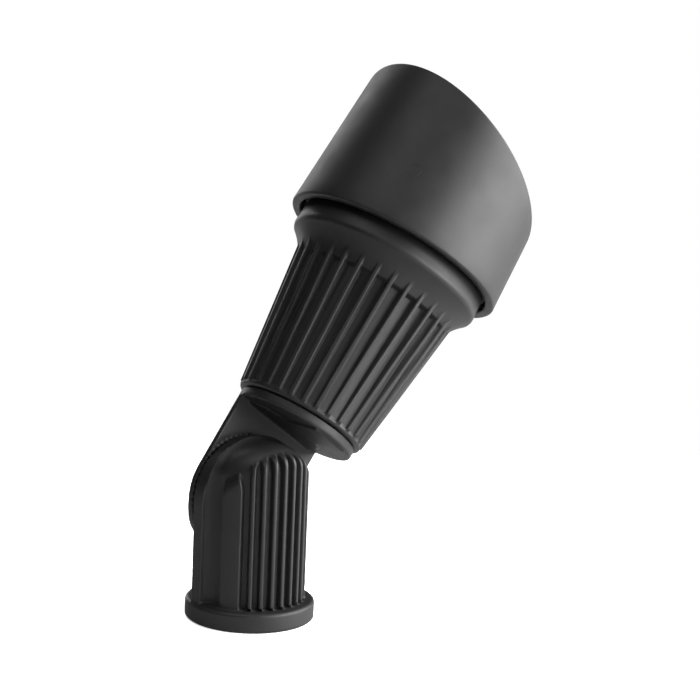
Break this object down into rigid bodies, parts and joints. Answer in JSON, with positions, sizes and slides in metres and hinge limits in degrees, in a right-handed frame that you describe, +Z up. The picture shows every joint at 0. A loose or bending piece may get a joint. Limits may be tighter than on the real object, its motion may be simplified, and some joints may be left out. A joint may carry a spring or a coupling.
{
  "type": "adjustable garden spotlight",
  "caption": "Bullet-shaped garden spotlight head: ribbed tapered housing and slant-cut glare cowl on a toothed tilt knuckle with a round threaded base flange",
  "frame": {"origin": "centre of the threaded socket's mouth, in the flat underside of the base flange", "axes": "+Z up out of the base, +X the way the head leans at rest, hinge bolt along Y with its head on the +Y side"},
  "size_m": [0.0999, 0.063, 0.1483],
  "materials": {
    "black_coat": "fine matt black powder coat on die-cast aluminium",
    "steel": "bright stainless steel",
    "brass": "plain turned brass",
    "seal": "soft black sealing rubber",
    "lens_glass": "clear toughened glass",
    "lamp_mirror": "bright coated reflector",
    "lamp_clear": "clear lamp glass",
    "lamp_ceramic": "white steatite ceramic"
  },
  "bodies": {
    "base": {"lower_knuckle": "black_coat", "bolt_insert": "brass", "hinge_seal": "seal"},
    "bolt": {"hinge_bolt": "steel", "flat_washer": "steel", "spring_washer": "steel"},
    "arm": {"upper_knuckle": "black_coat", "stem_seal": "seal", "stem_washer": "steel", "stem_nut": "brass"},
    "head": {"lamp_housing": "black_coat", "cowl_seal_rear": "seal", "cowl_seal_front": "seal", "lamp_reflector": "lamp_mirror", "lamp_glass": "lamp_clear", "lamp_base": "lamp_ceramic", "lamp_capsule": "lamp_clear", "lamp_pins": "steel", "lamp_holder": "lamp_ceramic", "holder_contacts": "brass", "holder_bracket": "steel", "bracket_screws": "steel"},
    "lens_pack": {"front_lens": "lens_glass", "lens_gasket": "seal"},
    "cowl": {"cowl": "black_coat", "lens_ring": "steel"}
  },
  "joints": [
    {"name": "bolt_turn", "type": "hinge", "parent": "base", "child": "bolt", "pos_m": [0, 0, 0.0326], "axis": [0, 1, 0], "continuous": true},
    {"name": "knuckle_tilt", "type": "hinge", "parent": "base", "child": "arm", "pos_m": [0, 0, 0.0326], "axis": [0, 1, 0], "range_deg": [-126, 53]},
    {"name": "head_swivel", "type": "hinge", "parent": "arm", "child": "head", "pos_m": [0, 0, 0.0326], "axis": [0.5941, 0, 0.8044], "range_deg": [-170, 170]},
    {"name": "cowl_pull", "type": "slide", "parent": "head", "child": "lens_pack", "axis": [0.5941, 0, 0.8044], "range_m": [0, 0.03]},
    {"name": "cowl_turn", "type": "hinge", "parent": "lens_pack", "child": "cowl", "pos_m": [0, 0, 0.0326], "axis": [0.5941, 0, 0.8044], "continuous": true}
  ]
}
